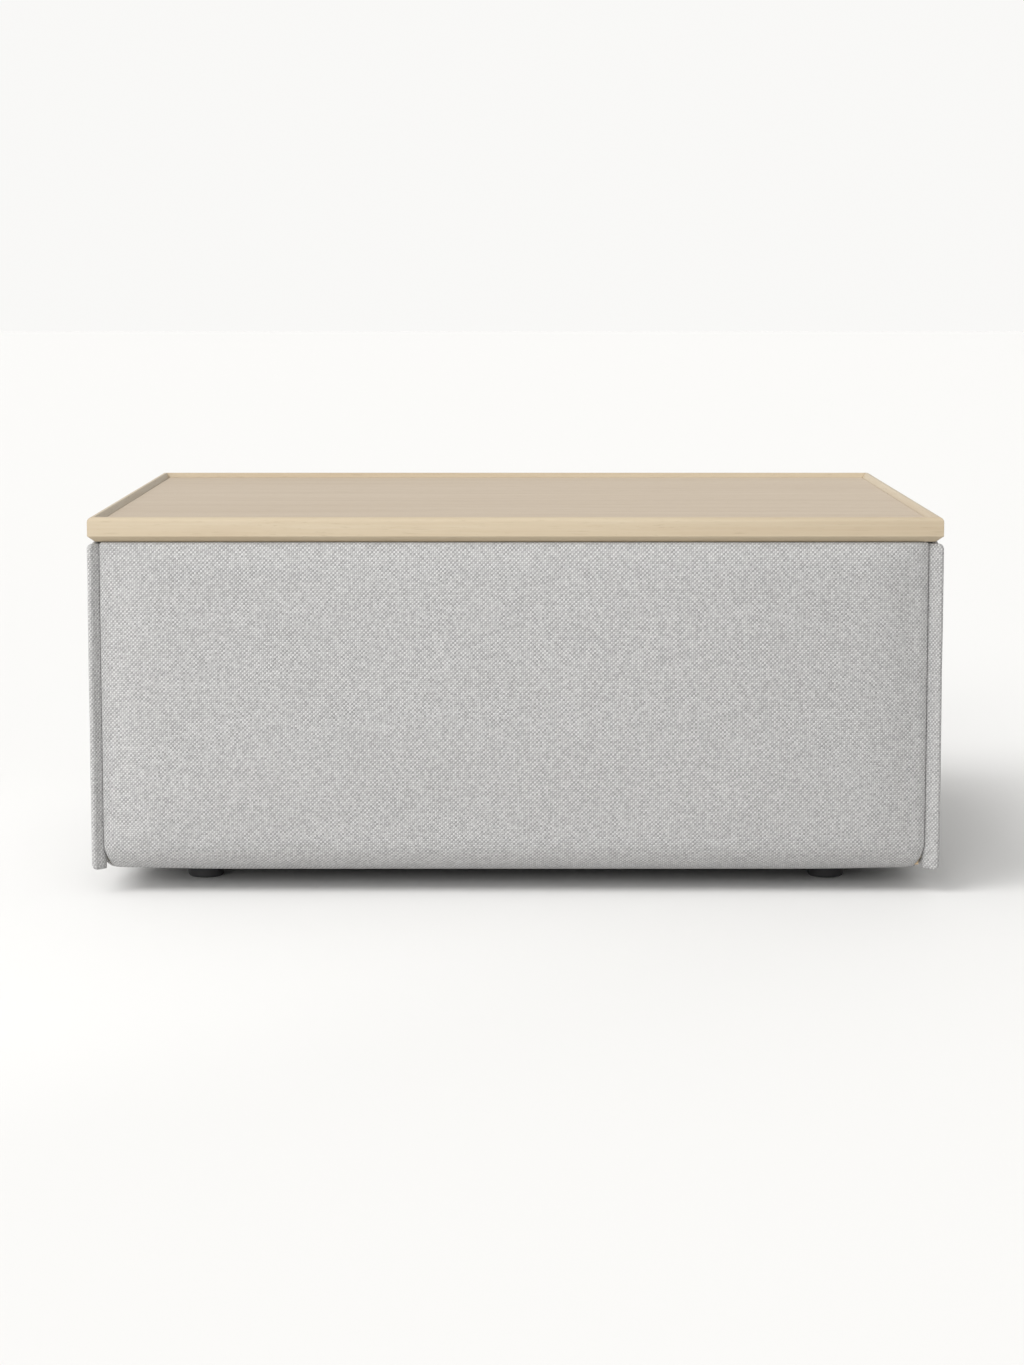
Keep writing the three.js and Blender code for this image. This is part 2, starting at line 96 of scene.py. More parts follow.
class Finish:
    """One material: a Principled surface and the nodes that feed it."""

    def __init__(self, name, roughness, **fixed):
        self.material = bpy.data.materials.new(name)
        self.material.use_nodes = True
        self.tree = self.material.node_tree
        self.surface = self.tree.nodes["Principled BSDF"]
        self.surface.inputs["Roughness"].default_value = roughness
        for socket, value in fixed.items():
            self.surface.inputs[socket.replace("_", " ").title()].default_value = value

    def add(self, kind, settings=None, sockets=None, out=0):
        """Adds a node of any kind. Settings come first, then the values or wires of its sockets."""
        node = self.tree.nodes.new(kind)
        for name, value in (settings or {}).items():
            if name == "stops":
                self.set_stops(node.color_ramp, value)
            else:
                setattr(node, name, value)
        for name, value in (sockets or {}).items():
            if isinstance(value, Wire):
                self.tree.links.new(value.socket, node.inputs[name])
            else:
                node.inputs[name].default_value = value
        return Wire(self, node.outputs[out])

    def set_stops(self, ramp, stops):
        while len(ramp.elements) < len(stops):
            ramp.elements.new(1.0)
        for element, (position, colour) in zip(ramp.elements, stops):
            element.position = position
            element.color = (*colour, 1.0)

    def math(self, operation, *values):
        return self.add("ShaderNodeMath", {"operation": operation}, dict(enumerate(values)))

    def mix(self, share, first, second):
        """Mixes two colours."""
        first, second = [c if isinstance(c, Wire) else (*c, 1.0) for c in (first, second)]
        return self.add("ShaderNodeMix", {"data_type": "RGBA"}, {0: share, 6: first, 7: second}, out=2)

    def place(self):
        """The point on the piece, in metres, as X, Y and Z wires."""
        spot = self.add("ShaderNodeTexCoord", out="Object")
        split = self.add("ShaderNodeSeparateXYZ", sockets={0: spot})
        return split, split.other("Y"), split.other("Z")

    def join(self, x, y, z=0.0):
        return self.add("ShaderNodeCombineXYZ", sockets={0: x, 1: y, 2: z})

    def cloud(self, spot, scale, detail=2.0, rough=0.5):
        """Soft random blotches, 0 to 1."""
        return self.add("ShaderNodeTexNoise", {"noise_dimensions": "3D"},
                        {"Vector": spot, "Scale": scale, "Detail": detail, "Roughness": rough})

    def feed(self, socket, wire):
        self.tree.links.new(wire.socket, self.surface.inputs[socket])

    def raise_by(self, height, distance, strength=1.0):
        """Turns a height wire into the surface's bumps, `distance` metres high."""
        bump = self.add("ShaderNodeBump", sockets={"Height": height, "Distance": distance,
                                                   "Strength": strength})
        self.feed("Normal", bump)


def sawn_wood(name, pale, dark, along, ring=0.012, streak=0.0016):
    """Bare or oiled timber: growth rings and fine streaks that run along one axis."""
    wood = Finish(name, 0.7)
    axes = dict(zip("XYZ", wood.place()))
    run = axes.pop(along)
    across = list(axes.values())
    slow = wood.join(run * 0.06, across[0], across[1])
    fine = wood.join(run * 0.02, across[0], across[1])
    rings = wood.cloud(slow, 1 / ring, 3.0, 0.55)
    streaks = wood.cloud(fine, 1 / streak, 2.0, 0.6)
    tone = rings * 0.6 + streaks * 0.4
    share = wood.add("ShaderNodeMapRange", sockets={0: tone, 1: 0.32, 2: 0.68})
    wood.feed("Base Color", wood.mix(share, pale, dark))
    wood.feed("Roughness", streaks * 0.2 + 0.6)
    wood.raise_by(streaks, 0.0002)
    return wood


def give(finish, *names):
    """Gives CAD pieces a finish, as they keep their own shape."""
    for name in names:
        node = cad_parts[name]
        node.data.materials.clear()
        node.data.materials.append(finish.material)


birch = sawn_wood("birch_plywood", (0.66, 0.52, 0.35), (0.56, 0.42, 0.26), "X")
give(birch, "panel_front", "panel_back", "panel_left", "panel_right", "base_panel")


# ---------------------------------------------------------------------------------------------
# Cleats, centre rail and foot blocks: sawn pine, glued and screwed inside the box under the base
# board. Each foot block is bored for the bolt that holds its foot.

CORNERS = ("front_left", "front_right", "back_right", "back_left")

pine_x = sawn_wood("pine_along_x", (0.72, 0.55, 0.34), (0.60, 0.41, 0.22), "X", ring=0.02)
pine_y = sawn_wood("pine_along_y", (0.72, 0.55, 0.34), (0.60, 0.41, 0.22), "Y", ring=0.02)
give(pine_x, "cleat_front", "cleat_back", *[f"foot_block_{corner}" for corner in CORNERS])
give(pine_y, "cleat_left", "cleat_right", "centre_rail")


# ---------------------------------------------------------------------------------------------
# Foam pads: 16 mm of cream polyurethane foam, glued to the outside of each board and crowned a
# little, so that the cloth has something to pull against.

CORNER_ROUNDS = {"front_left": 0.020, "front_right": 0.030, "back_right": 0.030, "back_left": 0.035}
SMALLEST_BEND = 0.003
CROWN = 0.0090
PADDED_DEPTH = 0.030
CROWN_AT_HEAD = 0.034
CROWN_AT_FOOT = 0.110
CROWN_AT_END = 0.070
CROWN_FULLNESS = 2.6
FOAM_CROWN_SHARE = 0.92
FULL_TUCK_ROUND = 0.009
FACE_RUN_STEPS = 64
BEND_STEPS = 6
TOP_ROLL = 0.0038
FOOT_ROLL = 0.038
HEM_HANG = 0.0066
HEM_LIFT = 0.0024
HEM_LIFT_RUN = 0.15
FOAM_UNDER_CLOTH = 0.0022
FOAM_BESIDE = 0.0065

side_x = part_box("cover_right")[1].x
side_y = -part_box("cover_front")[0].y
board_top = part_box("panel_front")[1].z
board_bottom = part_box("panel_front")[0].z
frame_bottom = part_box("cover_front")[0].z
board_inset = side_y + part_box("panel_front")[0].y
inner_inset = side_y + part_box("panel_front")[1].y

# Each side: how many quarter turns it is from the front, its half width, how far out it is, and
# how round its left and right ends are, seen from outside. No two corners are padded quite alike.
SIDES = {
    "front": (0, side_x, side_y, CORNER_ROUNDS["front_left"], CORNER_ROUNDS["front_right"]),
    "right": (1, side_y, side_x, CORNER_ROUNDS["front_right"], CORNER_ROUNDS["back_right"]),
    "back": (2, side_x, side_y, CORNER_ROUNDS["back_right"], CORNER_ROUNDS["back_left"]),
    "left": (3, side_y, side_x, CORNER_ROUNDS["back_left"], CORNER_ROUNDS["front_left"]),
}


def quarter_turned(point, quarters):
    """A point turned about the middle of the box, from the front to another side."""
    x, y, z = point
    for _ in range(quarters):
        x, y = -y, x
    return Vector((x, y, z))


def stations(tucks=()):
    """Columns across one side, left to right, as (run, bend, tuck): run is the share of the straight
    stretch, bend the share of the corner's bend, and tuck how far it goes in beside the flange."""
    right = [(1.0, (i + 1) / BEND_STEPS, 0.0) for i in range(BEND_STEPS)]
    right += [(1.0, 1.0, tuck) for tuck in tucks]
    straight = [(2 * i / FACE_RUN_STEPS - 1, 0.0, 0.0) for i in range(FACE_RUN_STEPS + 1)]
    left = [(-run, -bend, tuck) for run, bend, tuck in reversed(right)]
    return left + straight + right


def spot_on_side(side, station, inset, beside):
    """Where a column lies in plan, at a distance in from the face: along the side, and out."""
    quarters, half, off, left_round, right_round = SIDES[side]
    run, bend, tuck = station
    radii = [max(size - inset, SMALLEST_BEND) for size in (left_round, right_round)]
    radius = radii[1] if run > 0 else radii[0]
    ends = (radii[0] + inset - half, half - inset - radii[1])
    stop = math.pi / 4 - math.asin(min(beside / radius, 0.5))
    reach = radius - tuck * min(1.0, radius / FULL_TUCK_ROUND)
    middle = ends[0] + (ends[1] - ends[0]) * (run + 1) / 2
    return middle + reach * math.sin(bend * stop), off - inset - radius + reach * math.cos(bend * stop)


def arc(centre, radius, start, stop, steps):
    """Points (inset, height) along an arc. Angles are in degrees, 0 points inwards, 90 up."""
    points = []
    for i in range(steps + 1):
        angle = math.radians(start + (stop - start) * i / steps)
        points.append((centre[0] + radius * math.cos(angle), centre[1] + radius * math.sin(angle)))
    return points


def between(first, last, steps):
    """Points spaced evenly between two, without the two themselves."""
    first, last = Vector(first), Vector(last)
    return [tuple(first.lerp(last, i / steps)) for i in range(1, steps)]


def new_piece(name, points, faces, finish, layout=None):
    """A mesh piece. `layout` gives each point its place on the flat cloth, for the weave."""
    mesh = bpy.data.meshes.new(name)
    mesh.from_pydata([tuple(p) for p in points], [], faces)
    mesh.validate()
    mesh.materials.append(finish.material)
    if layout:
        lay = mesh.uv_layers.new(name="cloth")
        for loop in mesh.loops:
            lay.data[loop.index].uv = layout[loop.vertex_index]
    mesh.shade_smooth()
    piece = bpy.data.objects.new(name, mesh)
    bpy.context.scene.collection.objects.link(piece)
    return piece


def strips(rows, columns, closed=False):
    """Four-sided faces between `rows` rows of `columns` points. Closed rows join end to start."""
    faces = []
    for j in range(rows - 1):
        for i in range(columns if closed else columns - 1):
            k = (i + 1) % columns
            faces.append((j * columns + i, j * columns + k, (j + 1) * columns + k, (j + 1) * columns + i))
    return faces


def hem_raised(side, station, height):
    """Lifts the hanging belly of the hem towards the corners, where the flanges hold it up."""
    lowest = frame_bottom - HEM_HANG
    away = min((1 - abs(station[0])) * SIDES[side][1] / HEM_LIFT_RUN, 1.0)
    low_share = min(max((frame_bottom - height) / HEM_HANG, 0.0), 1.0)
    return max(height, lowest) + HEM_LIFT * (1 - away) ** 2 * low_share


def face_share(side, station, height):
    """How far a point stands clear of the edges of its side: 0 at an edge, 1 in the field."""
    run, bend, tuck = station
    if bend or tuck:
        return 0.0
    head = (board_top - height) / CROWN_AT_HEAD
    foot = (height - board_bottom) / CROWN_AT_FOOT
    end = (1 - abs(run)) * SIDES[side][1] / CROWN_AT_END
    rise = [1 - (1 - min(max(value, 0.0), 1.0)) ** CROWN_FULLNESS for value in (head, foot, end)]
    return rise[0] * rise[1] * rise[2]


cream_foam = Finish("cream_foam", 0.95)
pores = cream_foam.cloud(cream_foam.join(*cream_foam.place()), 900.0, 2.0, 0.6)
cream_foam.feed("Base Color", cream_foam.mix(pores, (0.80, 0.76, 0.62), (0.88, 0.85, 0.74)))
cream_foam.raise_by(pores, 0.0004)

low_round = FOOT_ROLL - FOAM_UNDER_CLOTH
high_round = TOP_ROLL - FOAM_UNDER_CLOTH
foam_low = frame_bottom - HEM_HANG + FOAM_UNDER_CLOTH
foam_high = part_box("cover_front")[1].z - FOAM_UNDER_CLOTH
foam_back = board_inset - 0.0003
foam_profile = [(foam_back, board_bottom - 0.0003), (0.050, board_bottom - 0.0003), (0.054, foam_low + 0.004)]
foam_profile += arc((FOOT_ROLL, foam_low + low_round), low_round, 275, 180, 12)
face_foot = (FOAM_UNDER_CLOTH, foam_low + low_round)
face_head = (FOAM_UNDER_CLOTH, foam_high - high_round)
foam_profile += between(face_foot, face_head, 30)
foam_profile += arc((TOP_ROLL, foam_high - high_round), high_round, 180, 90, 4)
foam_profile += [(foam_back, foam_high - 0.0004)]
foam_columns = stations()

for side, (quarters, *_) in SIDES.items():
    points = []
    for station in foam_columns:
        for inset, height in foam_profile:
            share = face_share(side, station, height) if inset < PADDED_DEPTH else 0.0
            along, out = spot_on_side(side, station, inset, FOAM_BESIDE)
            raised = hem_raised(side, station, height)
            points.append(quarter_turned((along, -out - FOAM_CROWN_SHARE * CROWN * share, raised), quarters))
    rows = len(foam_columns)
    ring = len(foam_profile)
    pad_faces = [tuple(reversed(face)) for face in strips(rows, ring, closed=True)]
    pad_faces.append(tuple(range(ring)))
    pad_faces.append(tuple(reversed(range((rows - 1) * ring, rows * ring))))
    pad = new_piece(f"foam_pad_{side}", points, pad_faces, cream_foam)
    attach(pad, "box")
    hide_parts(f"foam_{side}")


# ---------------------------------------------------------------------------------------------
# Covers: four cuts of light grey plain-weave cloth, one to a side. Each is stapled under the
# frame, pulled up over the foam and the board's top edge, and stapled inside under the lining.
# Its two ends are sewn to the corner flanges.

CLOTH_THICKNESS = 0.0012
SWELL_CAP = 0.016
LEAF_PRESS = 0.010
UNDER_LEAF = 0.0003
FACE_UNEVENNESS = 0.0008
THREAD = 0.0023
TUCKS = (0.0018, 0.0045)
cover_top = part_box("cover_front")[1].z + 0.0015
hem_low = frame_bottom - HEM_HANG
seam_beside = 0.0052

cover_profile = [(0.084, frame_bottom), (0.066, frame_bottom), (0.059, frame_bottom - 0.0012),
                 (0.052, hem_low + 0.0020)]
cover_profile += arc((FOOT_ROLL, hem_low + FOOT_ROLL), FOOT_ROLL, 278, 180, 14)
cover_profile += between((0, hem_low + FOOT_ROLL), (0, cover_top - TOP_ROLL), 34)
cover_profile += arc((TOP_ROLL, cover_top - TOP_ROLL), TOP_ROLL, 180, 90, 5)
cover_profile += [(0.014, cover_top - 0.0002), (0.019, board_top + 0.0015), (0.028, board_top + 0.0014)]
cover_profile += arc((inner_inset - 0.0008, board_top - 0.0008), 0.0021, 90, 0, 3)
cover_profile += [(inner_inset + 0.0013, board_top - 0.010), (inner_inset + 0.0013, board_top - 0.022)]
cover_columns = stations(TUCKS)


def woven_cloth(name, colour, shade, thread, depth=0.00045):
    """Plain weave: every cell of the cloth is one thread passing over another, across or along by
    turns, so each cell is a small pillow that is longer in its own thread's direction."""
    cloth = Finish(name, 0.9, sheen_weight=0.15, sheen_roughness=0.5)
    lay = cloth.add("ShaderNodeUVMap", {"uv_map": "cloth"})
    split = cloth.add("ShaderNodeSeparateXYZ", sockets={0: lay})
    across, along = split, split.other("Y")
    flat = cloth.join(across, along)
    # The threads wander a little, so that the rows aren't ruled straight.
    wander = cloth.cloud(flat, 60.0, 2.0, 0.5) - 0.5
    drift = cloth.cloud(cloth.join(along, across, 3.0), 52.0, 2.0, 0.5) - 0.5
    weft = across / thread + wander * 0.4
    warp = along / thread + drift * 0.4
    over = (weft.math("FLOOR") + warp.math("FLOOR")) % 2.0
    in_weft = (weft.math("FRACT") * math.pi).math("SINE")
    in_warp = (warp.math("FRACT") * math.pi).math("SINE")
    lying = (in_weft ** 0.35) * in_warp
    standing = (in_warp ** 0.35) * in_weft
    pillow = over * lying + (1.0 - over) * standing
    # Painted light: threads that run across are painted lighter than those that run up the cloth, as
    # if they caught more of the light, and a painted highlight leans over to one side as if by their twist.
    painted_twist_highlight = ((weft - warp) * math.pi).math("COSINE")
    painted_thread_light = over * 0.50 - painted_twist_highlight * 0.12 + 0.25
    cell = cloth.add("ShaderNodeTexWhiteNoise", {"noise_dimensions": "2D"},
                     {"Vector": cloth.join(weft.math("FLOOR"), warp.math("FLOOR"))}, 0) - 0.5
    # Fuzz and slubs: some threads are thicker and some lighter.
    slub = cloth.cloud(cloth.join(across * 0.12, along * 6.0), 80.0, 2.0, 0.6)
    slub2 = cloth.cloud(cloth.join(across * 6.0, along * 0.12, 5.0), 80.0, 2.0, 0.6)
    fuzz = cloth.cloud(flat, 2600.0, 2.0, 0.7)
    blotch = cloth.cloud(flat, 9.0, 2.0, 0.5)
    yarn = over * slub + (1.0 - over) * slub2
    # Colour: the pillows' shape as painted shade between the threads, the painted light on the
    # across-threads, and the yarn's own slubs, fuzz and blotches.
    light = pillow * 0.40 + painted_thread_light * 0.64 + yarn * 0.24 + fuzz * 0.22 + blotch * 0.05 - 0.28
    light = light + cell * 0.30
    light = cloth.add("ShaderNodeClamp", sockets={0: light})
    cloth.feed("Base Color", cloth.mix(light, shade, colour))
    cloth.feed("Roughness", 0.96 - light * 0.1)
    cloth.raise_by(pillow + fuzz * 0.35, depth, 0.8)
    return cloth


grey_weave = woven_cloth("light_grey_plain_weave", (0.575, 0.571, 0.567), (0.178, 0.176, 0.175), THREAD)


def swelled(piece, held, outward, cap):
    """Lets pinned cloth swell over its foam by simulation, and returns how far out each point
    moved, eased to at most `cap`. `held` is how firmly each point is pinned, 0 to 1."""
    group = piece.vertex_groups.new(name="held")
    for index, weight in enumerate(held):
        group.add([index], weight, "REPLACE")
    start = [v.co.copy() for v in piece.data.vertices]
    cloth = piece.modifiers.new("swell", "CLOTH")
    cloth.settings.vertex_group_mass = "held"
    cloth.settings.use_pressure = True
    cloth.settings.uniform_pressure_force = 4.0
    cloth.settings.effector_weights.gravity = 0.0
    cloth.settings.tension_stiffness = 25.0
    cloth.settings.compression_stiffness = 25.0
    cloth.settings.bending_stiffness = 4.0
    cloth.settings.quality = 5
    cloth.point_cache.frame_end = 20
    scene = bpy.context.scene
    for step in range(1, 21):
        scene.frame_set(step)
    solved = piece.evaluated_get(bpy.context.evaluated_depsgraph_get()).to_mesh()
    moved = [max((v.co - s).dot(outward), 0.0) for v, s in zip(solved.vertices, start)]
    piece.to_mesh_clear()
    piece.modifiers.remove(cloth)
    piece.vertex_groups.remove(group)
    scene.frame_set(1)
    return [cap * math.tanh(distance / cap) for distance in moved]


def cover_points(side, columns, profile, beside):
    """The cover's points, and where each lies on the flat cut."""
    quarters, half, _, left_round, right_round = SIDES[side]
    points, layout = [], []
    length = 0.0
    for j, (inset, height) in enumerate(profile):
        if j:
            length += math.dist(profile[j], profile[j - 1])
        for station in columns:
            run, bend, tuck = station
            along, out = spot_on_side(side, station, inset, beside)
            points.append(quarter_turned((along, -out, hem_raised(side, station, height)), quarters))
            end_round = right_round if run > 0 else left_round
            width = run * (half - end_round) + bend * 0.66 * end_round
            width += math.copysign(tuck, bend) if tuck else 0.0
            layout.append((width + 2 * quarters, length))
    return points, layout, length


for side, (quarters, half, *_) in SIDES.items():
    points, layout, cut_length = cover_points(side, cover_columns, cover_profile, seam_beside)
    cover = new_piece(f"cloth_cover_{side}", points, strips(len(cover_profile), len(cover_columns)),
                      grey_weave, layout)
    shares = [
        face_share(side, station, height) if inset < PADDED_DEPTH else 0.0
        for inset, height in cover_profile
        for station in cover_columns
    ]
    outward = quarter_turned((0, -1, 0), quarters)
    rises = [CROWN * share for share in shares]
    held = [1.0 if share == 0 else 0.0 for share in shares]
    swell = swelled(cover, held, outward, SWELL_CAP)
    rises = [(by_foam ** 4 + by_swell ** 4) ** 0.25 for by_foam, by_swell in zip(rises, swell)]
    for vertex, rise, share in zip(cover.data.vertices, rises, shares):
        # The pull of the upholsterer's hands leaves the face slightly uneven.
        uneven = FACE_UNEVENNESS * share * noise.noise(vertex.co * 9.0 + Vector((quarters, 0, 0)))
        vertex.co += outward * (rise + uneven)
    if side == "back":
        # The hinge leaves press the cloth flat on the board.
        for leaf in (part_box("hinge_box_leaf_left"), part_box("hinge_box_leaf_right")):
            for vertex in cover.data.vertices:
                spot = vertex.co
                under = leaf[0].x - LEAF_PRESS < spot.x < leaf[1].x + LEAF_PRESS and spot.y > leaf[0].y
                if under and spot.z > board_top:
                    spot.z = min(spot.z, leaf[0].z - UNDER_LEAF)
    finer = cover.modifiers.new("finer", "SUBSURF")
    finer.levels = finer.render_levels = 1
    thick = cover.modifiers.new("thickness", "SOLIDIFY")
    thick.thickness = CLOTH_THICKNESS
    thick.offset = -1.0
    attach(cover, "box")
    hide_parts(f"cover_{side}")
    cut_width = max(u for u, _ in layout) - min(u for u, _ in layout)


# ---------------------------------------------------------------------------------------------
# Corner flanges: a folded strip of the same cloth over a felt filler, sewn into each corner seam so
# that it stands out at 45 degrees. It is closed and rounded at both ends.

FLANGE_THICK = 0.0072
FLANGE_PROUD = 0.0010
FLANGE_ROUND = 0.0062
FLANGE_ROOT = 0.0090
flange_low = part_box("corner_flange_front_left")[0].z
flange_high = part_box("corner_flange_front_left")[1].z
flange_out_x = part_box("corner_flange_front_right")[1].x


def flange_ring(seam, tip, thick, steps=9):
    """The strip's outline in plan, as (reach, side) points, from its root round the tip and back.
    It spreads at the seam, where its two sides turn into the covers."""
    rim = thick / 2
    flare = [(seam - FLANGE_ROOT, 0.35), (seam - 0.003, 1.15), (seam, 1.12), (seam + 0.003, 1.0)]
    ring = [(reach, -rim * width) for reach, width in flare]
    for i in range(steps):
        angle = math.pi * (i / (steps - 1) - 0.5)
        ring.append((tip - rim + rim * math.cos(angle), rim * math.sin(angle)))
    ring += [(reach, rim * width) for reach, width in reversed(flare)]
    return ring


def flange_levels():
    """Heights up the strip, with how far its rounded ends pull the tip and the sides in."""
    levels = []
    for i in range(7):
        share = math.sin(math.pi / 2 * i / 6)
        rise = FLANGE_ROUND * (1 - math.cos(math.pi / 2 * i / 6))
        levels.append((flange_low + rise, share))
    body = between((flange_low + FLANGE_ROUND, 0), (flange_high - FLANGE_ROUND, 0), 60)
    levels += [(height, 1.0) for height, _ in body]
    levels += [(flange_high - (height - flange_low), share) for height, share in reversed(levels[:7])]
    return levels


for corner in CORNERS:
    sx = 1 if "right" in corner else -1
    sy = 1 if "back" in corner else -1
    out = Vector((sx, sy, 0)).normalized()
    aside = Vector((-out.y, out.x, 0))
    seam_reach = CORNER_ROUNDS[corner]
    start = Vector((sx * (side_x - seam_reach), sy * (side_y - seam_reach), 0))
    tip_out = flange_out_x + FLANGE_PROUD - FLANGE_THICK / 2 - side_x + seam_reach
    tip_reach = math.sqrt(2) * tip_out + FLANGE_THICK / 2
    points, layout = [], []
    levels = flange_levels()
    for height, share in levels:
        seed = Vector((sx * 3.1, sy * 5.3, height * 11.0))
        sway = 0.0007 * noise.noise(seed)
        tip = tip_reach - FLANGE_ROUND * (1 - share) + 0.0005 * noise.noise(seed * 1.7) - 0.0003
        thick = FLANGE_THICK * (0.45 + 0.55 * share)
        walked = 0.0
        ring = flange_ring(seam_reach, tip, thick)
        for i, (reach, side_step) in enumerate(ring):
            bend = sway * max(0.0, reach - seam_reach) / (tip_reach - seam_reach)
            points.append(start + out * reach + aside * (side_step + bend) + Vector((0, 0, height)))
            walked += math.dist(ring[i], ring[i - 1]) if i else 0.0
            layout.append((walked + 8 + sx + 3 * sy, height))
    count = len(ring)
    faces = strips(len(levels), count, closed=True)
    faces.append(tuple(reversed(range(count))))
    faces.append(tuple(range((len(levels) - 1) * count, len(levels) * count)))
    flange = new_piece(f"flange_{corner}", points, faces, grey_weave, layout)
    finer = flange.modifiers.new("finer", "SUBSURF")
    finer.levels = finer.render_levels = 1
    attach(flange, "box")
    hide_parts(f"corner_flange_{corner}")


# ---------------------------------------------------------------------------------------------
# Storage lining: a bag of dark non-woven cloth, sewn from four walls and a floor. Its top edge is
# turned over and stapled to the boards, on top of the covers' inner edges.

LINING_TOP = board_top - 0.006
LINING_CORNER = 0.010
BAG_SEGMENTS = 40
lining_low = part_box("storage_lining")[0]
lining_x = -lining_low.x - 0.0012
lining_y = -lining_low.y - 0.0012
lining_floor = lining_low.z + 0.0008


def non_woven(name, colour, fleck):
    """Pressed fibre cloth: dull, with a fine grid of weld dots."""
    felt = Finish(name, 0.92)
    x, y, z = felt.place()
    spot = felt.join(x, y, z)
    fibre = felt.cloud(spot, 1100.0, 3.0, 0.7)
    patch = felt.cloud(spot, 14.0, 2.0, 0.5)
    pitch = 0.0035
    dots = ((x + z) * (math.tau / pitch)).math("SINE") * ((y + z) * (math.tau / pitch)).math("SINE")
    share = felt.add("ShaderNodeClamp", sockets={0: fibre * 0.7 + patch * 0.4 + dots * 0.08 - 0.1})
    felt.feed("Base Color", felt.mix(share, colour, fleck))
    felt.raise_by(fibre + dots * 0.5, 0.00025)
    return felt


def ring_spot(share, half_x, half_y, round_):
    """A point a share of the way round a rectangle with round corners, in plan."""
    straight_x, straight_y = 2 * (half_x - round_), 2 * (half_y - round_)
    quarter = math.pi * round_ / 2
    legs = [straight_x, quarter, straight_y, quarter] * 2
    left = share * sum(legs)
    corners = [(1, -1), (1, 1), (-1, 1), (-1, -1)]
    for leg, size in enumerate(legs):
        if left <= size or leg == 7:
            break
        left -= size
    turn = leg // 2
    cx, cy = corners[turn][0] * (half_x - round_), corners[turn][1] * (half_y - round_)
    heading = math.pi / 2 * turn
    if leg % 2:
        angle = heading - math.pi / 2 + left / round_
        return cx + round_ * math.cos(angle), cy + round_ * math.sin(angle)
    before = size - left
    return (cx - before * math.cos(heading) + round_ * math.sin(heading),
            cy - before * math.sin(heading) - round_ * math.cos(heading))


charcoal_felt = non_woven("charcoal_non_woven", (0.030, 0.031, 0.033), (0.062, 0.063, 0.066))
wall_steps = 26
floor_steps = 14
ring_count = 4 * BAG_SEGMENTS
points = []
for j in range(wall_steps + floor_steps + 1):
    for i in range(ring_count):
        if j <= wall_steps:
            height = LINING_TOP + (lining_floor - LINING_TOP) * j / wall_steps
            x, y = ring_spot(i / ring_count, lining_x, lining_y, LINING_CORNER)
            slack = math.sin(math.pi * j / wall_steps)
        else:
            height = lining_floor
            inset = 0.94 * (j - wall_steps) / floor_steps
            x, y = ring_spot(i / ring_count, lining_x * (1 - inset), lining_y * (1 - inset),
                             LINING_CORNER * (1 - 0.9 * inset))
            slack = 0.0
        fold = noise.noise(Vector((x * 14, y * 14, height * 3)))
        pull = 0.0016 * slack * max(0.0, fold)
        x -= math.copysign(pull, x) if abs(abs(x) - lining_x) < 0.002 else 0.0
        y -= math.copysign(pull, y) if abs(abs(y) - lining_y) < 0.002 else 0.0
        lift = 0.0009 * max(0.0, noise.noise(Vector((x * 11, y * 11, 7)))) if j > wall_steps + 1 else 0.0
        points.append((x, y, height + lift))
bag_rows = wall_steps + floor_steps + 1
bag_faces = strips(bag_rows, ring_count, closed=True)
bag_faces.append(tuple(range((bag_rows - 1) * ring_count, bag_rows * ring_count)))
bag = new_piece("lining_bag", points, bag_faces, charcoal_felt)
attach(bag, "box")
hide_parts("storage_lining")
wall_height = LINING_TOP - lining_floor
bag_flat = (2 * lining_x + 2 * wall_height, 2 * lining_y + 2 * wall_height)
bag_flat[0] * bag_flat[1] - 4 * wall_height ** 2


# ---------------------------------------------------------------------------------------------
# Dust cover: one sheet of thin black non-woven cloth that closes the frame from below. It is
# stapled to the undersides of the boards, over the covers' lower edges.

black_felt = non_woven("black_non_woven", (0.010, 0.010, 0.011), (0.024, 0.024, 0.025))
DUST_INSET = 0.064
DUST_STEPS = 40
dust_x = side_x - DUST_INSET
dust_y = side_y - DUST_INSET
points = []
for j in range(DUST_STEPS + 1):
    for i in range(DUST_STEPS + 1):
        x = dust_x * (2 * i / DUST_STEPS - 1)
        y = dust_y * (2 * j / DUST_STEPS - 1)
        edge = min(dust_x - abs(x), dust_y - abs(y))
        sag = 0.0012 * min(1.0, edge / 0.1) * (0.5 + 0.5 * noise.noise(Vector((x * 6, y * 6, 1))))
        points.append((x, y, frame_bottom - 0.0009 - sag))
dust_faces = [tuple(reversed(face)) for face in strips(DUST_STEPS + 1, DUST_STEPS + 1)]
dust = new_piece("under_cloth", points, dust_faces, black_felt)
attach(dust, "box")
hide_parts("dust_cover")


# ---------------------------------------------------------------------------------------------
# Feet: round black moulded plastic, hollow below, with one bolt up through the middle of each
# into the frame's corner block.

TURN_STEPS = 48


